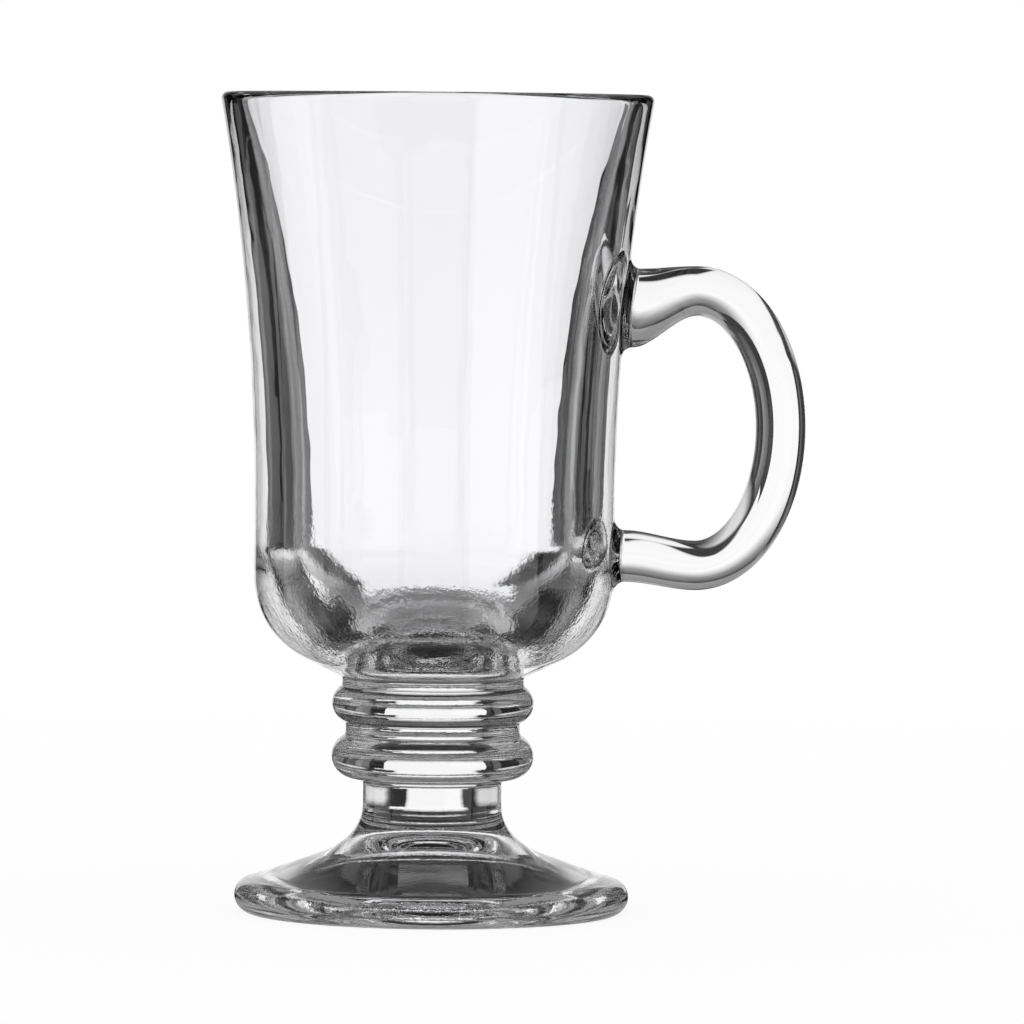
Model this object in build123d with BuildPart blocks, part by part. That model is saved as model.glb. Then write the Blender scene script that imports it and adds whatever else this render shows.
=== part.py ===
from build123d import *
import math
import os

# Irish coffee mug in clear pressed glass: a flared bowl on two ring knops, a short neck and a
# hollow foot, with one loop handle. Sizes are in millimetres. The origin is the middle of the
# ring that the foot stands on, +Z is up and the handle points along +X.

# Foot
foot_height = 19.8
foot_diameter = 71.3
foot_ring_outer_diameter = 67.2
foot_ring_width = 6.4
foot_edge_level = 2.7
foot_shoulder_diameter = 65.4
foot_shoulder_level = 6.0
foot_cone_top_diameter = 42.2
foot_cone_top_level = 10.1
foot_hollow_slope = 30.0
foot_hollow_tip_radius = 20.0

# Stem: a straight neck and two ring knops, one on the other
neck_diameter = 25.1
neck_height = 2.6
neck_lip = 2.1
neck_fillet = 1.1
lower_knop_diameter = 36.6
lower_knop_height = 11.1
lower_bead_rise = 5.75
upper_knop_diameter = 36.4
upper_knop_height = 8.6
upper_bead_rise = 3.7
knop_groove_diameter = 31.6
groove_drop = 1.4
groove_drop_fillet = 1.2
groove_lip = 0.9
groove_fillet = 0.5
crease_lip = 1.1
crease_fillet = 0.7

# Bowl: an upright barrel with a rounded heel, flaring to the rim
bowl_height = 105.9
bowl_seat_diameter = 33.0
bowl_seat_lip = 0.6
bowl_underside_slope = 24.0
barrel_diameter = 65.1
barrel_rise = 29.9
heel_radius = 17.0
rim_diameter = 78.5
rim_wall = 2.9
rim_edge_radius = 1.2
rim_inner_edge_radius = 1.6
barrel_wall = 7.0
inner_barrel_rise = 27.4
base_thickness = 7.9
inner_heel_radius = 17.0

# Handle: a loop of oval section, thicker where its upper arm leaves the bowl
handle_thickness = 9.0
handle_width = 11.0
handle_reach = 66.9
loop_share = 0.58
upper_arm_rise = 70.7
lower_arm_rise = 21.1
upper_root_drop = 3.2
upper_root_height = 14.4
upper_root_width = 12.6
lower_root_lift = 1.6
lower_root_height = 9.4
lower_root_width = 11.4
root_depth = 3.0
root_fillet = 2.4
seam_standoff = 1.8
loop_sections = 9
arm_sections = 3

# Levels of the seats, from the table up
foot_top = foot_height
neck_top = foot_top + neck_height
lower_knop_top = neck_top + lower_knop_height
bowl_seat = lower_knop_top + upper_knop_height
rim_level = bowl_seat + bowl_height

# Profiles are drawn on the side away from the handle, so no turned face has its seam under a root
profile_plane = Plane(origin=(0, 0, 0), x_dir=(-1, 0, 0), z_dir=(0, 1, 0))
level_tolerance = 0.001


def corners_at(sketch, radius, level):
    """The profile's corners at that radius and level."""
    near = sketch.vertices().filter_by_position(Axis.X, radius - level_tolerance, radius + level_tolerance)
    return near.filter_by_position(Axis.Y, level - level_tolerance, level + level_tolerance)


neck_radius = neck_diameter / 2
groove_radius = knop_groove_diameter / 2
seat_radius = bowl_seat_diameter / 2

# Foot: a cone with a rounded edge, standing on a ring round a conical hollow with a rounded tip
ring_outer_radius = foot_ring_outer_diameter / 2
ring_inner_radius = ring_outer_radius - foot_ring_width
shoulder_radius = foot_shoulder_diameter / 2
cone_top_radius = foot_cone_top_diameter / 2
cone_slope = (foot_cone_top_level - foot_shoulder_level) / (shoulder_radius - cone_top_radius)
flare_corner_level = foot_cone_top_level + cone_slope * (cone_top_radius - neck_radius)
hollow_angle = math.radians(foot_hollow_slope)
cone_tip_level = ring_inner_radius * math.tan(hollow_angle)
tip_center_level = cone_tip_level - foot_hollow_tip_radius / math.cos(hollow_angle)
tip_edge_radius = foot_hollow_tip_radius * math.sin(hollow_angle)
tip_edge_level = tip_center_level + foot_hollow_tip_radius * math.cos(hollow_angle)

with BuildPart() as foot:
    with BuildSketch(profile_plane):
        with BuildLine():
            tip = TangentArc(
                (0, tip_center_level + foot_hollow_tip_radius),
                (tip_edge_radius, tip_edge_level),
                tangent=(1, 0),
            )
            hollow = Line(tip @ 1, (ring_inner_radius, 0))
            ring = Line(hollow @ 1, (ring_outer_radius, 0))
            edge = ThreePointArc(
                ring @ 1,
                (foot_diameter / 2, foot_edge_level),
                (shoulder_radius, foot_shoulder_level),
            )
            cone = Line(edge @ 1, (cone_top_radius, foot_cone_top_level))
            flare = Bezier(cone @ 1, (neck_radius, flare_corner_level), (neck_radius, foot_top))
            Polyline(flare @ 1, (0, foot_top), tip @ 0)
        make_face()
    revolve(axis=Axis.Z)
foot.part.label = "foot"

# Neck: the waist between the foot and the lower knop
with BuildPart() as stem_neck:
    with BuildSketch(Plane.XY.offset(foot_top)):
        Circle(neck_radius)
    extrude(amount=neck_height)
stem_neck.part.label = "stem_neck"

# Lower knop: a bead that tucks in to the neck below and to the groove above
with BuildPart() as lower_knop:
    with BuildSketch(profile_plane) as lower_knop_profile:
        with BuildLine():
            below = Polyline((0, neck_top), (neck_radius, neck_top), (neck_radius, neck_top + neck_lip))
            bead = ThreePointArc(
                below @ 1,
                (lower_knop_diameter / 2, neck_top + lower_bead_rise),
                (groove_radius, lower_knop_top - groove_drop),
            )
            Polyline(bead @ 1, (groove_radius, lower_knop_top), (0, lower_knop_top), below @ 0)
        make_face()
        fillet(corners_at(lower_knop_profile, neck_radius, neck_top + neck_lip), neck_fillet)
        fillet(
            corners_at(lower_knop_profile, groove_radius, lower_knop_top - groove_drop), groove_drop_fillet
        )
    revolve(axis=Axis.Z)
lower_knop.part.label = "lower_knop"

# Upper knop: a like bead between the groove and the bowl's seat
with BuildPart() as upper_knop:
    with BuildSketch(profile_plane) as upper_knop_profile:
        with BuildLine():
            below = Polyline(
                (0, lower_knop_top),
                (groove_radius, lower_knop_top),
                (groove_radius, lower_knop_top + groove_lip),
            )
            bead = ThreePointArc(
                below @ 1,
                (upper_knop_diameter / 2, lower_knop_top + upper_bead_rise),
                (seat_radius, bowl_seat - crease_lip),
            )
            Polyline(bead @ 1, (seat_radius, bowl_seat), (0, bowl_seat), below @ 0)
        make_face()
        fillet(corners_at(upper_knop_profile, groove_radius, lower_knop_top + groove_lip), groove_fillet)
        fillet(corners_at(upper_knop_profile, seat_radius, bowl_seat - crease_lip), crease_fillet)
    revolve(axis=Axis.Z)
upper_knop.part.label = "upper_knop"

# The bowl's outer wall: upright at the barrel's level, then one arc out to the rim
barrel_radius = barrel_diameter / 2
barrel_level = bowl_seat + barrel_rise
rim_radius = rim_diameter / 2
flare_width = rim_radius - barrel_radius
flare_rise = rim_level - barrel_level
flare_radius = (flare_rise**2 + flare_width**2) / (2 * flare_width)


def wall_radius(level):
    """The bowl's outer radius at a level of the barrel or the flare."""
    rise = max(level - barrel_level, 0.0)
    return barrel_radius + flare_radius - math.sqrt(flare_radius**2 - rise**2)


def wall_lean(level):
    """How far the bowl's outer wall leans outwards at that level, in radians."""
    return math.asin(max(level - barrel_level, 0.0) / flare_radius)


# The handle's loop is half an ellipse, which takes its share of the depth from the upper seam to the
# grip. Each arm eases from the loop's end into its root.
upper_root_level = bowl_seat + upper_arm_rise - upper_root_drop
lower_root_level = bowl_seat + lower_arm_rise + lower_root_lift
grip_x = handle_reach - handle_thickness / 2
loop_depth = loop_share * (grip_x - wall_radius(upper_root_level) - seam_standoff)
loop_center_x = grip_x - loop_depth
loop_center_level = bowl_seat + (upper_arm_rise + lower_arm_rise) / 2
loop_half_height = (upper_arm_rise - lower_arm_rise) / 2


def section(x, level, tilt, heading, thickness, width):
    """One oval across the handle: where it is, its tilt from +X and which way the loop runs there."""
    direction = (heading * math.cos(tilt), 0, heading * math.sin(tilt))
    plane = Plane(origin=(x, 0, level), x_dir=(0, 1, 0), z_dir=direction)
    return plane, thickness, width


def arm(root_level, root_height, root_width, loop_level, heading):
    """The ovals of one arm, from inside the bowl's wall to just short of the loop."""
    lean = wall_lean(root_level)
    seam_x = wall_radius(root_level) + seam_standoff
    inside = seam_standoff + root_depth
    ovals = [
        section(
            seam_x - inside * math.cos(lean),
            root_level + inside * math.sin(lean),
            -lean,
            heading,
            root_height,
            root_width,
        )
    ]
    for step in range(arm_sections):
        along = step / arm_sections
        ease = along**2 * (3 - 2 * along)
        ovals.append(
            section(
                seam_x + along * (loop_center_x - seam_x),
                root_level + ease * (loop_level - root_level),
                -lean * (1 - ease),
                heading,
                root_height + ease * (handle_thickness - root_height),
                root_width + ease * (handle_width - root_width),
            )
        )
    return ovals


def loop():
    """The ovals round the loop, from the top of it to the bottom."""
    ovals = []
    for step in range(loop_sections):
        angle = math.pi * (0.5 - step / (loop_sections - 1))
        tilt = math.atan2(-loop_half_height * math.cos(angle), loop_depth * math.sin(angle))
        ovals.append(
            section(
                loop_center_x + loop_depth * math.cos(angle),
                loop_center_level + loop_half_height * math.sin(angle),
                tilt,
                1,
                handle_thickness,
                handle_width,
            )
        )
    return ovals


upper_arm = arm(
    upper_root_level, upper_root_height, upper_root_width, loop_center_level + loop_half_height, 1
)
lower_arm = arm(
    lower_root_level, lower_root_height, lower_root_width, loop_center_level - loop_half_height, -1
)

# Bowl and handle together, with the roots blended into the wall, before the seams part them
inner_radius = barrel_radius - barrel_wall
inner_barrel_level = bowl_seat + inner_barrel_rise
floor_level = bowl_seat + base_thickness
underside_start = bowl_seat + bowl_seat_lip
heel_level = underside_start + (barrel_radius - seat_radius) * math.tan(math.radians(bowl_underside_slope))

with BuildPart() as bowl_with_handle:
    with BuildSketch(profile_plane) as bowl_profile:
        with BuildLine():
            outside = Polyline(
                (0, bowl_seat),
                (seat_radius, bowl_seat),
                (seat_radius, underside_start),
                (barrel_radius, heel_level),
                (barrel_radius, barrel_level),
            )
            outer_flare = TangentArc(outside @ 1, (rim_radius, rim_level), tangent=(0, 1))
            rim = Line(outer_flare @ 1, (rim_radius - rim_wall, rim_level))
            inner_flare = TangentArc((inner_radius, inner_barrel_level), rim @ 1, tangent=(0, 1))
            Polyline(inner_flare @ 0, (inner_radius, floor_level), (0, floor_level), outside @ 0)
        make_face()
        fillet(corners_at(bowl_profile, seat_radius, underside_start), crease_fillet)
        fillet(corners_at(bowl_profile, barrel_radius, heel_level), heel_radius)
        fillet(corners_at(bowl_profile, inner_radius, floor_level), inner_heel_radius)
        fillet(corners_at(bowl_profile, rim_radius, rim_level), rim_edge_radius)
        fillet(corners_at(bowl_profile, rim_radius - rim_wall, rim_level), rim_inner_edge_radius)
    revolve(axis=Axis.Z)
    for plane, thickness, width in upper_arm + loop() + lower_arm[::-1]:
        with BuildSketch(plane):
            Ellipse(width / 2, thickness / 2)
    loft()
    fillet(bowl_with_handle.edges(Select.NEW), root_fillet)


def seam_end(root_level, root_height, side):
    """A point on a seam's line, above (side 1) or below (side -1) the blended root."""
    lean = wall_lean(root_level)
    along = side * (root_height / 2 + root_fillet)
    seam_x = wall_radius(root_level) + seam_standoff
    return (seam_x + along * math.sin(lean), root_level + along * math.cos(lean))


# What lies past the two seams is the handle
beyond = handle_reach + handle_thickness
upper_seam_top = seam_end(upper_root_level, upper_root_height, 1)
lower_seam_bottom = seam_end(lower_root_level, lower_root_height, -1)

with BuildPart() as past_seams:
    with BuildSketch(Plane.XZ):
        with BuildLine():
            Polyline(
                upper_seam_top,
                (beyond, upper_seam_top[1]),
                (beyond, lower_seam_bottom[1]),
                lower_seam_bottom,
                seam_end(lower_root_level, lower_root_height, 1),
                seam_end(upper_root_level, upper_root_height, -1),
                close=True,
            )
        make_face()
    extrude(amount=handle_width + root_fillet, both=True)

with BuildPart() as bowl:
    add(bowl_with_handle.part)
    add(past_seams.part, mode=Mode.SUBTRACT)
bowl.part.label = "bowl"

with BuildPart() as handle:
    add(bowl_with_handle.part)
    add(past_seams.part, mode=Mode.INTERSECT)
handle.part.label = "handle"

os.makedirs("parts", exist_ok=True)
for piece in (foot, stem_neck, lower_knop, upper_knop, bowl, handle):
    export_step(piece.part, "parts/" + piece.part.label + ".step")
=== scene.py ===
import math

import bmesh
import bpy
from mathutils import Matrix, Vector


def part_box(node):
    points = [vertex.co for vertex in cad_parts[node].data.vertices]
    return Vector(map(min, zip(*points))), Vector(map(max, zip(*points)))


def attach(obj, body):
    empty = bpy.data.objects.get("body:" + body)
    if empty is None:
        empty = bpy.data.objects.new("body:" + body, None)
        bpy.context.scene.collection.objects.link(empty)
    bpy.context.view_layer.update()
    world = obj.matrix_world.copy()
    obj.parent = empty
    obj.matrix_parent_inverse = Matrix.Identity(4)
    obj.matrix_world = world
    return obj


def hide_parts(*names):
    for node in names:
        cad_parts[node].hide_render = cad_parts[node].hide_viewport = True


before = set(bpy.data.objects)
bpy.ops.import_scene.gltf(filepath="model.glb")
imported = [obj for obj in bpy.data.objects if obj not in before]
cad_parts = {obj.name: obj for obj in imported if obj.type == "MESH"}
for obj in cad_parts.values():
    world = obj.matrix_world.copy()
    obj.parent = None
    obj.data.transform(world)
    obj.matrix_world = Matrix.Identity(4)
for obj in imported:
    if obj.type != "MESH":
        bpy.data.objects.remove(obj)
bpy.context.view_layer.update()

# Irish coffee mug in clear pressed glass. Everything is in metres, in the frame of the packed
# model: the mug stands on z = 0 with its axis on Z, and its handle points along +X.
MM = 0.001

# Levels of the seats between the pieces, from the frame
foot_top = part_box("foot")[1].z
neck_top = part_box("stem_neck")[1].z
lower_knop_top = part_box("lower_knop")[1].z
bowl_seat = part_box("bowl")[0].z
rim_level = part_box("bowl")[1].z

# Foot
foot_radius = 35.65 * MM
foot_ring_outer_radius = 33.6 * MM
foot_ring_inner_radius = 27.2 * MM
foot_edge_level = 2.7 * MM
foot_shoulder_radius = 32.7 * MM
foot_shoulder_level = 6.0 * MM
foot_cone_top_radius = 21.1 * MM
foot_cone_top_level = 10.1 * MM
foot_hollow_slope = math.radians(30.0)
foot_hollow_tip_radius = 20.0 * MM

# Stem
neck_radius = 12.55 * MM
neck_lip = 2.1 * MM
neck_fillet = 1.1 * MM
lower_bead = Vector((18.3 * MM, neck_top + 5.75 * MM))
upper_bead = Vector((18.2 * MM, lower_knop_top + 3.7 * MM))
groove_radius = 15.8 * MM
groove_drop = 1.4 * MM
groove_drop_fillet = 1.2 * MM
groove_lip = 0.9 * MM
groove_fillet = 0.5 * MM
crease_lip = 1.1 * MM
crease_fillet = 0.7 * MM

# Bowl
bowl_seat_radius = 16.5 * MM
bowl_seat_lip = 0.6 * MM
underside_slope = math.radians(24.0)
barrel_radius = 32.55 * MM
barrel_level = bowl_seat + 29.9 * MM
heel_radius = 17.0 * MM
rim_radius = 39.25 * MM
rim_wall = 2.9 * MM
rim_band = 2.0 * MM
rim_edge_radius = 1.2 * MM
rim_inner_edge_radius = 1.6 * MM
inner_barrel_radius = barrel_radius - 7.0 * MM
inner_barrel_level = bowl_seat + 27.4 * MM
floor_level = bowl_seat + 7.9 * MM
inner_heel_radius = 17.0 * MM

# Handle
handle_half_thickness = 4.5 * MM
handle_half_width = 5.5 * MM
handle_reach = 66.9 * MM
loop_share = 0.58
loop_top_level = bowl_seat + 70.7 * MM
loop_bottom_level = bowl_seat + 21.1 * MM
upper_root_level = loop_top_level - 3.2 * MM
upper_root_half_height = 7.2 * MM
upper_root_half_width = 6.3 * MM
lower_root_level = loop_bottom_level + 1.6 * MM
lower_root_half_height = 4.7 * MM
lower_root_half_width = 5.7 * MM
root_fillet = 2.4 * MM
seam_standoff = 1.8 * MM

# Fineness of the meshes
turn_steps = 256
arc_step = math.radians(4.0)
arc_length = 0.8 * MM
merge_distance = 0.002 * MM
hollow_steps = 16
flare_steps = 24
neck_steps = 6
wall_steps = 24
inside_steps = 80
outer_skin = 2.0 * MM
root_columns = 24
root_rows = 20
root_half_rise = {"upper": 12.0 * MM, "lower": 9.0 * MM}
ring_count = 2 * (root_columns + root_rows)
wall_tries = 12
wall_rings = 8
fillet_rings = 8
arm_rings = 24
loop_rings = 96
smooth_angle = math.radians(40)


def sampled_arc(start, end, centre):
    """Points of the shorter arc from start to end about a centre, both ends included."""
    start, end, centre = Vector(start), Vector(end), Vector(centre)
    first = start - centre
    last = end - centre
    angle = math.atan2(first.y, first.x)
    turn = math.atan2(last.y, last.x) - angle
    turn = (turn + math.pi) % (2 * math.pi) - math.pi
    steps = math.ceil(max(abs(turn) / arc_step, abs(turn) * first.length / arc_length, 2))
    points = []
    for step in range(steps + 1):
        along = angle + turn * step / steps
        points.append(centre + first.length * Vector((math.cos(along), math.sin(along))))
    return points


def centre_through(start, middle, end):
    """The centre of the circle through three points."""
    to_middle = Vector(middle) - Vector(start)
    to_end = Vector(end) - Vector(start)
    cross = 2 * (to_middle.x * to_end.y - to_middle.y * to_end.x)
    return Vector(start) + Vector((
        to_end.y * to_middle.length_squared - to_middle.y * to_end.length_squared,
        to_middle.x * to_end.length_squared - to_end.x * to_middle.length_squared,
    )) / cross


def arc_through(start, middle, end):
    """Points of the arc from start through middle to end."""
    centre = centre_through(start, middle, end)
    return sampled_arc(start, middle, centre)[:-1] + sampled_arc(middle, end, centre)


def rounded(corners):
    """A profile through corners of (radius, level, rounding), with the roundings as arcs."""
    points = []
    for number, (radius, level, rounding) in enumerate(corners):
        corner = Vector((radius, level))
        if rounding == 0:
            points.append(corner)
            continue
        back = (Vector(corners[number - 1][:2]) - corner).normalized()
        ahead = (Vector(corners[number + 1][:2]) - corner).normalized()
        half_angle = back.angle(ahead) / 2
        reach = rounding / math.tan(half_angle)
        centre = corner + (back + ahead).normalized() * rounding / math.sin(half_angle)
        points += sampled_arc(corner + back * reach, corner + ahead * reach, centre)
    return points


def levels(low, high, count):
    """Evenly spaced levels from low up to high, with high left out."""
    return [low + (high - low) * step / count for step in range(count)]


def choose(piece):
    """Makes a piece the only one that operators act on."""
    bpy.ops.object.select_all(action="DESELECT")
    piece.select_set(True)
    bpy.context.view_layer.objects.active = piece


def face_outwards():
    """Turns the faces of the mesh that is being edited outwards, and leaves edit mode."""
    bpy.ops.mesh.select_all(action="SELECT")
    bpy.ops.mesh.normals_make_consistent(inside=False)
    bpy.ops.object.mode_set(mode="OBJECT")


def turned(name, profile):
    """A piece of glass turned about Z: a profile extruded point by point, then spun."""
    bpy.ops.object.select_all(action="DESELECT")
    bpy.ops.mesh.primitive_plane_add(size=MM, location=(profile[0].x, 0, profile[0].y))
    piece = bpy.context.object
    piece.name = name
    bpy.ops.object.transform_apply(location=True)
    bpy.ops.object.mode_set(mode="EDIT")
    bpy.ops.mesh.select_all(action="SELECT")
    bpy.ops.mesh.merge(type="CENTER")
    for here, there in zip(profile, profile[1:]):
        step = there - here
        bpy.ops.mesh.extrude_vertices_move(
            TRANSFORM_OT_translate={"value": (step.x, 0, step.y)}
        )
    bpy.ops.mesh.select_all(action="SELECT")
    bpy.ops.mesh.spin(steps=turn_steps, angle=2 * math.pi, center=(0, 0, 0), axis=(0, 0, 1))
    bpy.ops.mesh.select_all(action="SELECT")
    bpy.ops.mesh.remove_doubles(threshold=merge_distance)
    face_outwards()
    return piece


def foot_profile():
    """The foot's section, from the middle of its hollow out to the ring and up to the neck."""
    cone_tip_level = foot_ring_inner_radius * math.tan(foot_hollow_slope)
    tip_centre_level = cone_tip_level - foot_hollow_tip_radius / math.cos(foot_hollow_slope)
    tip_centre = Vector((0, tip_centre_level))
    tip = tip_centre + Vector((0, foot_hollow_tip_radius))
    tip_edge = tip_centre + foot_hollow_tip_radius * Vector(
        (math.sin(foot_hollow_slope), math.cos(foot_hollow_slope))
    )
    profile = sampled_arc(tip, tip_edge, tip_centre)
    ring_inside = Vector((foot_ring_inner_radius, 0))
    for step in range(1, hollow_steps + 1):
        profile.append(tip_edge.lerp(ring_inside, step / hollow_steps))
    profile += arc_through(
        (foot_ring_outer_radius, 0),
        (foot_radius, foot_edge_level),
        (foot_shoulder_radius, foot_shoulder_level),
    )
    cone_width = foot_shoulder_radius - foot_cone_top_radius
    slope = (foot_cone_top_level - foot_shoulder_level) / cone_width
    corner_level = foot_cone_top_level + slope * (foot_cone_top_radius - neck_radius)
    cone_top = Vector((foot_cone_top_radius, foot_cone_top_level))
    corner = Vector((neck_radius, corner_level))
    top = Vector((neck_radius, foot_top))
    for step in range(flare_steps + 1):
        along = step / flare_steps
        profile.append(
            (1 - along)**2 * cone_top + 2 * along * (1 - along) * corner + along**2 * top
        )
    profile.append(Vector((0, foot_top)))
    return profile


def neck_profile():
    """The neck's section: a short straight waist."""
    wall = [Vector((neck_radius, level)) for level in levels(foot_top, neck_top, neck_steps)]
    top = [Vector((neck_radius, neck_top)), Vector((0, neck_top))]
    return [Vector((0, foot_top))] + wall + top


def knop_profile(low, high, bead, low_tuck, high_tuck):
    """A ring knop's section between its seats: a bead that runs into a tuck below and one above.

    The bead is its widest point. A tuck is its radius, its height from the seat and its fillet.
    """
    low_end = Vector((low_tuck[0], low + low_tuck[1]))
    high_end = Vector((high_tuck[0], high - high_tuck[1]))
    centre = centre_through(low_end, bead, high_end)
    radius = (bead - centre).length

    def fillet_arc(wall, fillet, side):
        rise = math.sqrt((radius + fillet)**2 - (wall + fillet - centre.x)**2)
        middle = Vector((wall + fillet, centre.y + side * rise))
        touch = centre + radius * (middle - centre).normalized()
        return sampled_arc((wall, middle.y), touch, middle)

    below = fillet_arc(low_tuck[0], low_tuck[2], -1)
    above = fillet_arc(high_tuck[0], high_tuck[2], 1)[::-1]
    lower_half = sampled_arc(below[-1], bead, centre)[1:-1]
    upper_half = sampled_arc(bead, above[0], centre)[:-1]
    return [
        Vector((0, low)), Vector((low_tuck[0], low)), *below, *lower_half,
        *upper_half, *above, Vector((high_tuck[0], high)), Vector((0, high)),
    ]


def flare_radius(width, rise):
    """The radius of an arc that starts upright and goes out by a width over a rise."""
    return (rise**2 + width**2) / (2 * width)


def flare_width(radius, rise):
    """How far an arc that starts upright has gone out after a rise."""
    return radius - math.sqrt(radius**2 - rise**2)


# The bowl's wall: outside, a rounded heel, an upright barrel and one arc out to the rim
underside_start = bowl_seat + bowl_seat_lip
underside_rise = (barrel_radius - bowl_seat_radius) * math.tan(underside_slope)
heel_corner_level = underside_start + underside_rise
heel_reach = heel_radius * math.tan((math.pi / 2 - underside_slope) / 2)
heel_top = heel_corner_level + heel_reach
outer_flare_radius = flare_radius(rim_radius - barrel_radius, rim_level - barrel_level)
inner_flare_radius = flare_radius(
    rim_radius - rim_wall - inner_barrel_radius, rim_level - inner_barrel_level
)


def wall_radius(level):
    """The bowl's outer radius at a level from the heel up."""
    if level < heel_top:
        return barrel_radius - heel_radius + math.sqrt(heel_radius**2 - (heel_top - level)**2)
    return barrel_radius + flare_width(outer_flare_radius, max(level - barrel_level, 0))


def wall_lean(level):
    """How far the bowl's outer wall leans outwards at a level of the barrel or the flare."""
    return math.asin(max(level - barrel_level, 0) / outer_flare_radius)


def bowl_profile():
    """The bowl's section, from the middle of its seat up the outside and down the inside."""
    lower_low = lower_root_level - root_half_rise["lower"]
    lower_high = lower_root_level + root_half_rise["lower"]
    upper_low = upper_root_level - root_half_rise["upper"]
    upper_high = upper_root_level + root_half_rise["upper"]
    rim_clear = rim_level - rim_band
    outside = levels(lower_low, lower_high, root_rows)
    outside += levels(lower_high, upper_low, wall_steps)
    outside += levels(upper_low, upper_high, root_rows)
    outside += levels(upper_high, rim_clear, wall_steps) + [rim_clear]
    underside_end = Vector((
        barrel_radius - heel_reach * math.cos(underside_slope),
        heel_corner_level - heel_reach * math.sin(underside_slope),
    ))
    profile = rounded([
        (0, bowl_seat, 0),
        (bowl_seat_radius, bowl_seat, 0),
        (bowl_seat_radius, underside_start, crease_fillet),
        (underside_end.x, underside_end.y, 0),
    ])
    heel_centre = (barrel_radius - heel_radius, heel_top)
    heel_end = (wall_radius(lower_low), lower_low)
    profile += sampled_arc(underside_end, heel_end, heel_centre)[1:-1]
    profile += [Vector((wall_radius(level), level)) for level in outside]
    inside = [
        (wall_radius(rim_clear), rim_clear, 0),
        (rim_radius, rim_level, rim_edge_radius),
        (rim_radius - rim_wall, rim_level, rim_inner_edge_radius),
    ]
    for level in reversed(levels(inner_barrel_level, rim_clear, inside_steps) + [rim_clear]):
        flare = flare_width(inner_flare_radius, level - inner_barrel_level)
        inside.append((inner_barrel_radius + flare, level, 0))
    inside.append((inner_barrel_radius, floor_level, inner_heel_radius))
    inside.append((0, floor_level, 0))
    return profile + rounded(inside)[1:]


def root_frame(level):
    """A handle root's seam: its middle, the way out along the arm and the way up across it."""
    lean = wall_lean(level)
    middle = Vector((wall_radius(level) + seam_standoff, 0, level))
    out = Vector((math.cos(lean), 0, -math.sin(lean)))
    up = Vector((math.sin(lean), 0, math.cos(lean)))
    return middle, out, up


def on_wall(point, out):
    """Where a line through a point, along a root's way out, meets the bowl's outer wall."""
    place = point.copy()
    for _ in range(wall_tries):
        place -= out * (math.hypot(place.x, place.y) - wall_radius(place.z))
    return place


def number_ring(piece, middle_level):
    """Numbers the selected ring of vertices by its turn round +X, from +Y."""
    mesh = bmesh.from_edit_mesh(piece.data)
    around = mesh.verts.layers.int.get("around") or mesh.verts.layers.int.new("around")
    ring = [vert for vert in mesh.verts if vert.select]
    ring.sort(key=lambda vert: math.atan2(vert.co.z - middle_level, vert.co.y) % (2 * math.pi))
    for number, vert in enumerate(ring):
        vert[around] = number
    bmesh.update_edit_mesh(piece.data)
    return [vert.co.copy() for vert in ring]


def put_ring(piece, places):
    """Puts each selected vertex at the place that has its number."""
    mesh = bmesh.from_edit_mesh(piece.data)
    around = mesh.verts.layers.int["around"]
    for vert in mesh.verts:
        if vert.select:
            vert.co = places[vert[around]]
    bmesh.update_edit_mesh(piece.data)


def root_rings(start, level, half_height, half_width):
    """Rings from the opening in the bowl's wall in to a root's fillet and up to its seam."""
    middle, out, up = root_frame(level)
    ovals, feet, corners = [], [], []
    for number in range(ring_count):
        turn = 2 * math.pi * number / ring_count
        side = Vector((0, math.cos(turn), 0))
        oval = middle + half_width * side + half_height * math.sin(turn) * up
        away = (side / half_width + up * math.sin(turn) / half_height).normalized()
        ovals.append(oval)
        feet.append(on_wall(oval + root_fillet * away, out))
        corners.append(on_wall(oval, out))
    rings = []
    for ring in range(1, wall_rings + 1):
        share = ring / wall_rings
        places = []
        for near, foot in zip(start, feet):
            near_turn = math.atan2(near.y, near.x)
            turn = (1 - share) * near_turn + share * math.atan2(foot.y, foot.x)
            height = (1 - share) * near.z + share * foot.z
            radius = wall_radius(height)
            places.append(Vector((radius * math.cos(turn), radius * math.sin(turn), height)))
        rings.append(places)
    for ring in range(1, fillet_rings + 1):
        bend = math.pi / 2 * ring / fillet_rings
        rings.append([
            corner + (1 - math.sin(bend)) * (foot - corner) + (1 - math.cos(bend)) * (oval - corner)
            for corner, foot, oval in zip(corners, feet, ovals)
        ])
    return rings


def raise_root(bowl, level, half_rise, half_height, half_width):
    """Raises one low boss for the handle out of the bowl's wall, with a fillet round it."""
    choose(bowl)
    bpy.ops.object.mode_set(mode="EDIT")
    bpy.ops.mesh.select_all(action="DESELECT")
    mesh = bmesh.from_edit_mesh(bowl.data)
    half_turn = math.pi * (root_columns + 0.5) / turn_steps
    for face in mesh.faces:
        place = face.calc_center_median()
        if abs(place.z - level) < half_rise and abs(math.atan2(place.y, place.x)) < half_turn:
            face.select_set(math.hypot(place.x, place.y) > wall_radius(place.z) - outer_skin)
    bmesh.update_edit_mesh(bowl.data)
    bpy.ops.mesh.delete(type="FACE")
    bpy.ops.mesh.select_mode(type="EDGE")
    mesh = bmesh.from_edit_mesh(bowl.data)
    for edge in mesh.edges:
        edge.select_set(edge.is_boundary)
    bmesh.update_edit_mesh(bowl.data)
    start = number_ring(bowl, level)
    for places in root_rings(start, level, half_height, half_width):
        bpy.ops.mesh.extrude_edges_move()
        put_ring(bowl, places)
    bpy.ops.mesh.edge_face_add()
    bpy.ops.mesh.select_mode(type="VERT")
    face_outwards()


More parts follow.
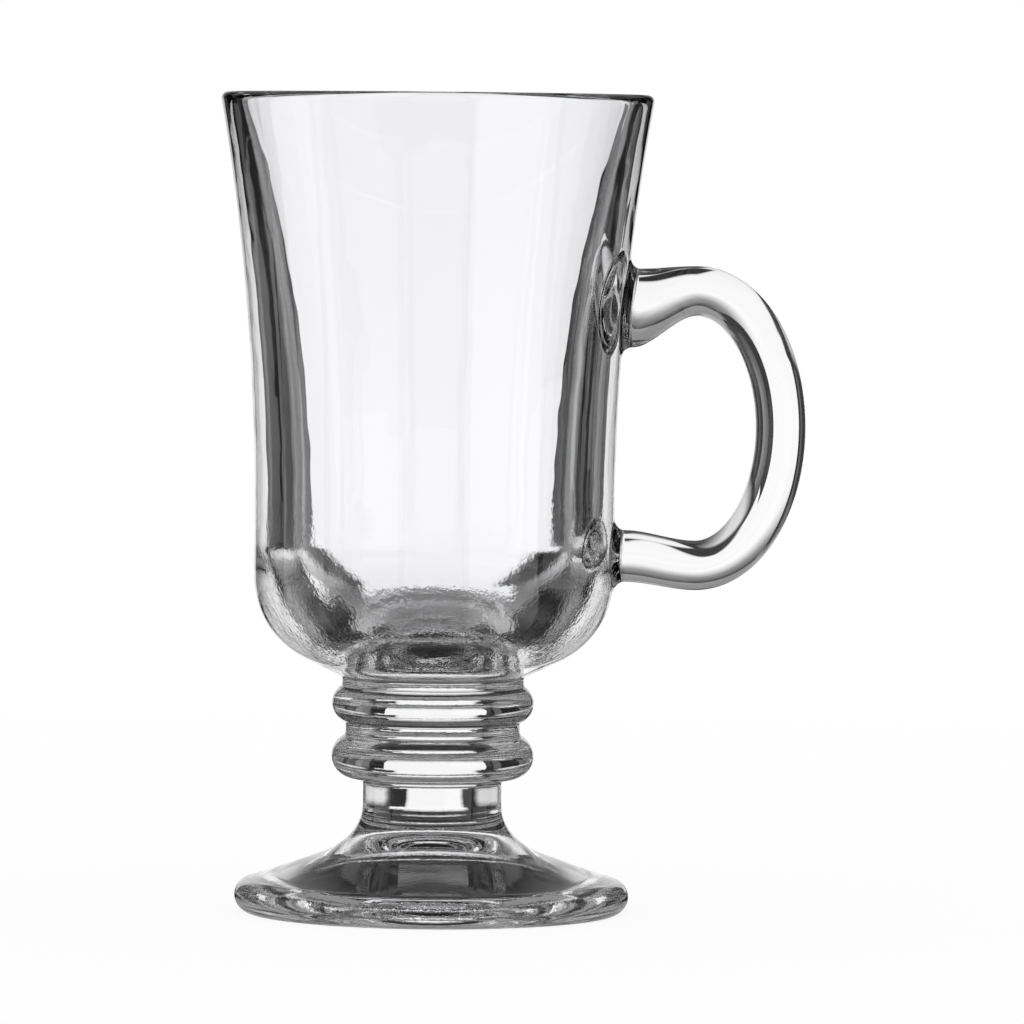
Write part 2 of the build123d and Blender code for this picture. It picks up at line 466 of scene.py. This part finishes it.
def handle_ovals():
    """The handle's ovals from root to root: middle, outward way, half thickness and half width."""
    grip_x = handle_reach - handle_half_thickness
    loop_depth = loop_share * (grip_x - root_frame(upper_root_level)[0].x)
    centre_x = grip_x - loop_depth
    centre_level = (loop_top_level + loop_bottom_level) / 2
    half_rise = (loop_top_level - loop_bottom_level) / 2

    def arm(root_level, root_height, root_width, loop_level, outward):
        lean = wall_lean(root_level)
        seam_x = wall_radius(root_level) + seam_standoff
        ovals = []
        for step in range(arm_rings):
            along = step / arm_rings
            ease = along**2 * (3 - 2 * along)
            tilt = lean * (1 - ease)
            middle_x = seam_x + along * (centre_x - seam_x)
            middle_level = root_level + ease * (loop_level - root_level)
            ovals.append((
                Vector((middle_x, 0, middle_level)),
                outward * Vector((math.sin(tilt), 0, math.cos(tilt))),
                root_height + ease * (handle_half_thickness - root_height),
                root_width + ease * (handle_half_width - root_width),
            ))
        return ovals

    upper = arm(
        upper_root_level, upper_root_half_height, upper_root_half_width, loop_top_level, 1
    )
    lower = arm(
        lower_root_level, lower_root_half_height, lower_root_half_width, loop_bottom_level, -1
    )
    loop = []
    for step in range(loop_rings + 1):
        angle = math.pi * (0.5 - step / loop_rings)
        middle_x = centre_x + loop_depth * math.cos(angle)
        middle_level = centre_level + half_rise * math.sin(angle)
        loop.append((
            Vector((middle_x, 0, middle_level)),
            Vector((half_rise * math.cos(angle), 0, loop_depth * math.sin(angle))).normalized(),
            handle_half_thickness,
            handle_half_width,
        ))
    return upper + loop + lower[::-1]


def loop_handle():
    """The handle: one oval extruded from the upper seam round the loop to the lower seam."""
    bpy.ops.object.select_all(action="DESELECT")
    bpy.ops.mesh.primitive_circle_add(
        vertices=ring_count,
        radius=handle_half_width,
        fill_type="NGON",
        rotation=(math.pi / 2, 0, math.pi / 2),
    )
    piece = bpy.context.object
    piece.name = "glass_handle"
    bpy.ops.object.transform_apply(location=True, rotation=True)
    bpy.ops.object.mode_set(mode="EDIT")
    bpy.ops.mesh.select_all(action="SELECT")
    number_ring(piece, 0)
    for number, (middle, outward, half_thickness, half_width) in enumerate(handle_ovals()):
        if number > 0:
            bpy.ops.mesh.extrude_region_move()
        places = []
        for count in range(ring_count):
            turn = 2 * math.pi * count / ring_count
            side = Vector((0, half_width * math.cos(turn), 0))
            places.append(middle + side + half_thickness * math.sin(turn) * outward)
        put_ring(piece, places)
    face_outwards()
    return piece


def linear(hex_colour):
    """An sRGB hex colour as linear red, green, blue and alpha."""
    channels = [int(hex_colour[i:i + 2], 16) / 255 for i in (1, 3, 5)]
    return [c / 12.92 if c <= 0.04045 else ((c + 0.055) / 1.055)**2.4 for c in channels] + [1.0]


def add_node(tree, kind, inputs=(), **settings):
    """Adds one node with its settings. Each input is a value, or an output to link it to."""
    made = tree.nodes.new(kind)
    for name, value in settings.items():
        setattr(made, name, value)
    for socket, value in dict(inputs).items():
        if isinstance(value, bpy.types.NodeSocket):
            tree.links.new(value, made.inputs[socket])
        else:
            made.inputs[socket].default_value = value
    return made


def blank_material(name):
    """A new material and its empty node tree."""
    material = bpy.data.materials.new(name)
    material.use_nodes = True
    material.node_tree.nodes.clear()
    return material, material.node_tree


def tones(tree, value, stops):
    """Grey levels along a value, from stops of (value, level)."""
    low, high = stops[0][0], stops[-1][0]
    share = add_node(tree, "ShaderNodeMapRange", {0: value, 1: low, 2: high})
    ramp = add_node(tree, "ShaderNodeValToRGB", {0: share.outputs[0]})
    marks = ramp.color_ramp.elements
    while len(marks) < len(stops):
        marks.new(1.0)
    for mark, (place, level) in zip(marks, stops):
        mark.position = (place - low) / (high - low)
        mark.color = (level, level, level, 1)
    return ramp.outputs[0]


def clear_pressed_glass():
    """Soda-lime glass, pressed and fire-polished: clear, colourless and bright.

    The polish leaves no roughness, so the glass shows the studio sharply. The mould leaves broad
    ripples all over, and fine hairs on the bowl's inner bottom and, fainter, on the stem and foot.
    """
    ripple_width = 9 * MM
    ripple_depth = 0.05 * MM
    hair_width = 0.7 * MM
    hair_depth = 0.03 * MM
    stem_hairs = 0.3
    material, tree = blank_material("clear_pressed_soda_lime_glass")
    place = add_node(tree, "ShaderNodeTexCoord").outputs["Object"]
    level = add_node(tree, "ShaderNodeSeparateXYZ", {0: place}).outputs["Z"]
    flat = add_node(tree, "ShaderNodeVectorMath", {0: place, 1: (1, 1, 0)}, operation="MULTIPLY")
    reach = add_node(tree, "ShaderNodeVectorMath", {0: flat.outputs[0]}, operation="LENGTH")
    on_stem = tones(tree, level, [
        (0, stem_hairs), (42 * MM, stem_hairs), (43 * MM, 0), (148 * MM, 0),
    ])
    by_level = tones(tree, level, [
        (0, 0), (49.3 * MM, 0), (49.8 * MM, 1), (58 * MM, 1), (68 * MM, 0.7), (78 * MM, 0),
        (148 * MM, 0),
    ])
    inside = tones(tree, reach.outputs["Value"], [
        (0, 1), (25.6 * MM, 1), (26 * MM, 0), (70 * MM, 0),
    ])
    on_bottom = add_node(tree, "ShaderNodeMath", {0: by_level, 1: inside}, operation="MULTIPLY")
    hairiness = add_node(tree, "ShaderNodeMath", {
        0: on_stem, 1: on_bottom.outputs[0],
    }, operation="MAXIMUM")
    broad = add_node(tree, "ShaderNodeTexNoise", {
        "Vector": place, "Scale": 1 / ripple_width, "Detail": 1.0,
    })
    ripple = add_node(tree, "ShaderNodeBump", {
        "Height": broad.outputs[0], "Distance": ripple_depth, "Strength": 1.0,
    })
    fine = add_node(tree, "ShaderNodeTexNoise", {
        "Vector": place, "Scale": 1 / hair_width, "Detail": 2.0,
    })
    hairs = add_node(tree, "ShaderNodeBump", {
        "Height": fine.outputs[0],
        "Distance": hair_depth,
        "Strength": hairiness.outputs[0],
        "Normal": ripple.outputs[0],
    })
    shader = add_node(tree, "ShaderNodeBsdfPrincipled", {
        "Normal": hairs.outputs[0],
        "Base Color": linear("#FEFEFF"),
        "Roughness": 0.0,
        "IOR": 1.52,
        "Transmission Weight": 1.0,
    })
    add_node(tree, "ShaderNodeOutputMaterial", {"Surface": shader.outputs["BSDF"]})
    return material


def fused_glass():
    """Glass fused hot between two pieces: no surface is left there, so light goes straight on."""
    material, tree = blank_material("fused_glass_seat")
    clear = add_node(tree, "ShaderNodeBsdfTransparent")
    add_node(tree, "ShaderNodeOutputMaterial", {"Surface": clear.outputs["BSDF"]})
    return material


glass = clear_pressed_glass()
fused = fused_glass()


def finish_glass(piece, node, seats):
    """Gives a piece its glass, its fused seats and smooth shading, and its place on the mug."""
    piece.data.materials.append(glass)
    piece.data.materials.append(fused)
    near = 0.01 * MM
    in_line = 0.999
    for face in piece.data.polygons:
        for point, normal in seats:
            flat = abs(face.normal.dot(normal)) > in_line
            if flat and abs((face.center - point).dot(normal)) < near:
                face.material_index = 1
    choose(piece)
    bpy.ops.object.shade_smooth_by_angle(angle=smooth_angle)
    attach(piece, "root")
    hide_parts(node)


# Seats and seams between the pieces: a point on each and the way that it faces
up_axis = Vector((0, 0, 1))
foot_seat = (Vector((0, 0, foot_top)), up_axis)
neck_seat = (Vector((0, 0, neck_top)), up_axis)
knop_seat = (Vector((0, 0, lower_knop_top)), up_axis)
bowl_seat_face = (Vector((0, 0, bowl_seat)), up_axis)
upper_seam = root_frame(upper_root_level)[:2]
lower_seam = root_frame(lower_root_level)[:2]

# The six pieces, from the table up
finish_glass(turned("glass_foot", foot_profile()), "foot", [foot_seat])
finish_glass(turned("glass_neck", neck_profile()), "stem_neck", [foot_seat, neck_seat])
lower_section = knop_profile(
    neck_top,
    lower_knop_top,
    lower_bead,
    (neck_radius, neck_lip, neck_fillet),
    (groove_radius, groove_drop, groove_drop_fillet),
)
finish_glass(turned("glass_lower_knop", lower_section), "lower_knop", [neck_seat, knop_seat])
upper_section = knop_profile(
    lower_knop_top,
    bowl_seat,
    upper_bead,
    (groove_radius, groove_lip, groove_fillet),
    (bowl_seat_radius, crease_lip, crease_fillet),
)
finish_glass(turned("glass_upper_knop", upper_section), "upper_knop", [knop_seat, bowl_seat_face])
bowl = turned("glass_bowl", bowl_profile())
raise_root(
    bowl, upper_root_level, root_half_rise["upper"], upper_root_half_height, upper_root_half_width
)
raise_root(
    bowl, lower_root_level, root_half_rise["lower"], lower_root_half_height, lower_root_half_width
)
finish_glass(bowl, "bowl", [bowl_seat_face, upper_seam, lower_seam])
finish_glass(loop_handle(), "handle", [upper_seam, lower_seam])

# Camera: just below the rim's level, so that the near rim hides the far one
camera_distance = 1400 * MM
camera_level = 135.5 * MM
camera_roll = math.radians(0.53)
aim = Vector((14.0 * MM, 0, 72.55 * MM))
sensor_width = 36.0
picture_width = 1024
pixels_per_mm = 5.536
camera_data = bpy.data.cameras.new("camera")
camera_data.sensor_width = sensor_width
camera_data.lens = pixels_per_mm * camera_distance / MM * sensor_width / picture_width
camera = bpy.data.objects.new("camera", camera_data)
bpy.context.scene.collection.objects.link(camera)
camera.location = (aim.x, -camera_distance, camera_level)
camera.rotation_mode = "QUATERNION"
looking = (aim - camera.location).to_track_quat("-Z", "Y")
camera.rotation_quaternion = looking @ Matrix.Rotation(camera_roll, 3, "Z").to_quaternion()
bpy.context.scene.camera = camera

# Studio
floor_radius = 500 * MM
floor_glow = 0.9
table_radius = 640 * MM
table_drop = 0.1 * MM
# The table's dark tone where no sheet lies: far out its own dark, round and under the mug a painted
# shadow
table_dark_and_painted_shadow = 0.02
card_distance = 474 * MM
card_height = 300 * MM
card_top_shade = 0.02
room_shade = 0.012
band_shade = 0.3


def round_sheet(name, radius, level):
    """A flat round sheet at a level."""
    bpy.ops.object.select_all(action="DESELECT")
    bpy.ops.mesh.primitive_circle_add(
        vertices=128, radius=radius, fill_type="NGON", location=(0, 0, level)
    )
    sheet = bpy.context.object
    sheet.name = name
    return sheet


def bearing(tree, place):
    """Degrees round Z from +Y towards +X, of a place."""
    parts = add_node(tree, "ShaderNodeSeparateXYZ", {0: place})
    turn = add_node(tree, "ShaderNodeMath", {
        0: parts.outputs["X"], 1: parts.outputs["Y"],
    }, operation="ARCTAN2")
    return add_node(tree, "ShaderNodeMath", {0: turn.outputs[0]}, operation="DEGREES").outputs[0]


def glow(name, build):
    """A material that only glows, in the tone that build makes from Object coordinates."""
    material, tree = blank_material(name)
    tone = build(tree, add_node(tree, "ShaderNodeTexCoord").outputs["Object"])
    shader = add_node(tree, "ShaderNodeEmission", {"Color": tone, "Strength": 1.0})
    add_node(tree, "ShaderNodeOutputMaterial", {"Surface": shader.outputs[0]})
    return material


def shown_in_glass(stand, material):
    """Makes an object of the studio one that is seen only in and through the glass."""
    stand.data.materials.append(material)
    stand.visible_camera = False
    stand.visible_diffuse = False
    stand.visible_shadow = False


def pale_floor():
    """Matt white sheet, with enough glow for the camera that it runs into the white behind it."""
    material, tree = blank_material("pale_floor")
    path = add_node(tree, "ShaderNodeLightPath")
    glow_share = add_node(tree, "ShaderNodeMath", {
        0: path.outputs["Is Camera Ray"], 1: floor_glow,
    }, operation="MULTIPLY")
    matt = add_node(tree, "ShaderNodeBsdfDiffuse", {"Color": linear("#F8F8F8")})
    white = add_node(tree, "ShaderNodeEmission", {"Color": linear("#FFFFFF"), "Strength": 1.0})
    mixed = add_node(tree, "ShaderNodeMixShader", {
        0: glow_share.outputs[0], 1: matt.outputs[0], 2: white.outputs[0],
    })
    add_node(tree, "ShaderNodeOutputMaterial", {"Surface": mixed.outputs[0]})
    return material


# Floor: a pale round sheet, lit from all round, that keeps the mug's faint shadow
floor = round_sheet("floor", floor_radius, 0)
floor.visible_glossy = False
floor.visible_transmission = False
floor.data.materials.append(pale_floor())


def table_tone(tree, place):
    """The table's tone from the distance and bearing of a place on it: light areas on dark.
    It only glows, as painted light: the dark under the foot and behind the mug is the mug's
    painted shadow, and the grey ring round the foot is painted dim light.

    Each area is its tones by distance and its tones by bearing, and where areas meet the
    lighter one shows.
    """
    away = add_node(tree, "ShaderNodeVectorMath", {0: place}, operation="LENGTH").outputs["Value"]
    turn = bearing(tree, place)
    areas = {
        "white_sheet": (
            [(0, 0), (64 * MM, 0), (75 * MM, 0.6), (88 * MM, 1), (table_radius, 1)],
            [
                (-180, 0.15), (-109, 0.15), (-108, 1), (-72, 1), (-71, 0), (-17.5, 0), (-16.5, 1),
                (12.5, 1), (13.5, 0), (111, 0), (112, 1), (158, 1), (159, 0.15), (180, 0.15),
            ],
        ),
        "sheet_by_the_card": (
            [
                (0, 0), (70 * MM, 0), (88 * MM, 1), (115 * MM, 1), (130 * MM, 0), (330 * MM, 0),
                (400 * MM, 1), (table_radius, 1),
            ],
            [(-180, 0), (-19, 0), (-18, 1), (23, 1), (24, 0), (180, 0)],
        ),
        "pale_sheets": (
            [
                (0, 0), (95 * MM, 0), (190 * MM, 0.74), (290 * MM, 0.74), (420 * MM, 0),
                (table_radius, 0),
            ],
            [
                (-180, 0), (-66, 0), (-60, 1), (-31, 1), (-26, 0),
                (26, 0), (31, 1), (60, 1), (66, 0), (180, 0),
            ],
        ),
        # Painted dim light round the foot, left out behind the mug where its painted shadow lies
        "grey_ring_of_painted_light": (
            [
                (0, 0), (27.5 * MM, 0), (33 * MM, 0.45), (44 * MM, 0.45), (50 * MM, 0),
                (table_radius, 0),
            ],
            [(-180, 1), (-70, 1), (-62, 0), (62, 0), (70, 1), (180, 1)],
        ),
    }
    shade = table_dark_and_painted_shadow
    for by_distance, by_bearing in areas.values():
        area = add_node(tree, "ShaderNodeMath", {
            0: tones(tree, away, by_distance), 1: tones(tree, turn, by_bearing),
        }, operation="MULTIPLY")
        lighter = add_node(tree, "ShaderNodeMath", {
            0: area.outputs[0], 1: shade,
        }, operation="MAXIMUM")
        shade = lighter.outputs[0]
    return shade


# Table, as the glass shows it, glowing as painted light: the mug's painted shadow under the foot
# and behind it, a grey ring of painted dim light round the foot, then white and pale sheets
shown_in_glass(round_sheet("table", table_radius, -table_drop), glow("table", table_tone))


def stand_card(name, degrees, left, right, brightness):
    """An upright card at a bearing, from left to right as the mug sees it, that fades out above."""
    turn = math.radians(degrees)
    out = Vector((math.sin(turn), math.cos(turn), 0))
    side = Vector((math.cos(turn), -math.sin(turn), 0))
    place = card_distance * out + (left + right) / 2 * side
    bpy.ops.object.select_all(action="DESELECT")
    bpy.ops.mesh.primitive_plane_add(
        size=1, location=(place.x, place.y, card_height / 2), rotation=(math.pi / 2, 0, -turn)
    )
    card = bpy.context.object
    card.name = name
    card.scale = (right - left, card_height, 1)

    # The card only glows, painted light in place of a lit card: brightest low down, fading to dark
    # above
    def fading_up(tree, local):
        height = add_node(tree, "ShaderNodeSeparateXYZ", {0: local}).outputs["Y"]
        return tones(tree, height, [
            (-0.5, brightness), (-0.1, brightness), (0.17, 0.3 * brightness), (0.5, card_top_shade),
        ])

    shown_in_glass(card, glow(name, fading_up))


# Glowing cards round the mug, painted light that only the glass shows, and narrow grey strips in
# the gaps at both sides of the card behind it
stand_card("white_card_behind", 0, -195 * MM, 160 * MM, 1.0)
stand_card("white_card_left", -90, -157 * MM, 157 * MM, 1.0)
stand_card("white_card_front_right", 135, -200 * MM, 200 * MM, 1.0)
stand_card("pale_card_front", 180, -150 * MM, 150 * MM, 0.7)
stand_card("pale_card_front_left", -135, -200 * MM, 200 * MM, 0.7)
stand_card("pale_card_right", 90, -110 * MM, 157 * MM, 0.6)
grey_strips = [
    # bearing in degrees, half width, brightness
    (-50, 18 * MM, 0.12),
    (-29, 20 * MM, 0.12),
    (29, 20 * MM, 0.12),
    (34, 20 * MM, 0.2),
    (45, 14 * MM, 0.08),
    (53, 20 * MM, 0.09),
]
for number, (degrees, half_width, brightness) in enumerate(grey_strips):
    stand_card(f"grey_strip_{number}", degrees, -half_width, half_width, brightness)

# Light: soft and white from all round. The glass shows a dark room behind the cards instead, with
# one pale band high up, which its rim catches.
world = bpy.data.worlds.new("studio")
bpy.context.scene.world = world
world.use_nodes = True
tree = world.node_tree
tree.nodes.clear()
sky = add_node(tree, "ShaderNodeTexCoord").outputs["Generated"]
way = add_node(tree, "ShaderNodeSeparateXYZ", {0: sky})
rise = add_node(tree, "ShaderNodeMath", {0: way.outputs["Z"]}, operation="ARCSINE")
rise = add_node(tree, "ShaderNodeMath", {0: rise.outputs[0]}, operation="DEGREES")
room = tones(tree, rise.outputs[0], [
    (-90, room_shade), (18, room_shade), (22, band_shade), (46, band_shade), (50, room_shade),
    (90, room_shade),
])
path = add_node(tree, "ShaderNodeLightPath")
in_glass = add_node(tree, "ShaderNodeMath", {
    0: path.outputs["Is Glossy Ray"], 1: path.outputs["Is Transmission Ray"],
}, operation="MAXIMUM")
shown = add_node(tree, "ShaderNodeMix", {
    0: in_glass.outputs[0], 6: linear("#FFFFFF"), 7: room,
}, data_type="RGBA")
background = add_node(tree, "ShaderNodeBackground", {"Color": shown.outputs[2], "Strength": 1.0})
add_node(tree, "ShaderNodeOutputWorld", {"Surface": background.outputs[0]})

scene = bpy.context.scene
scene.view_settings.view_transform = "Standard"
scene.cycles.max_bounces = 32
scene.cycles.transmission_bounces = 32
scene.cycles.glossy_bounces = 16
scene.cycles.transparent_max_bounces = 32
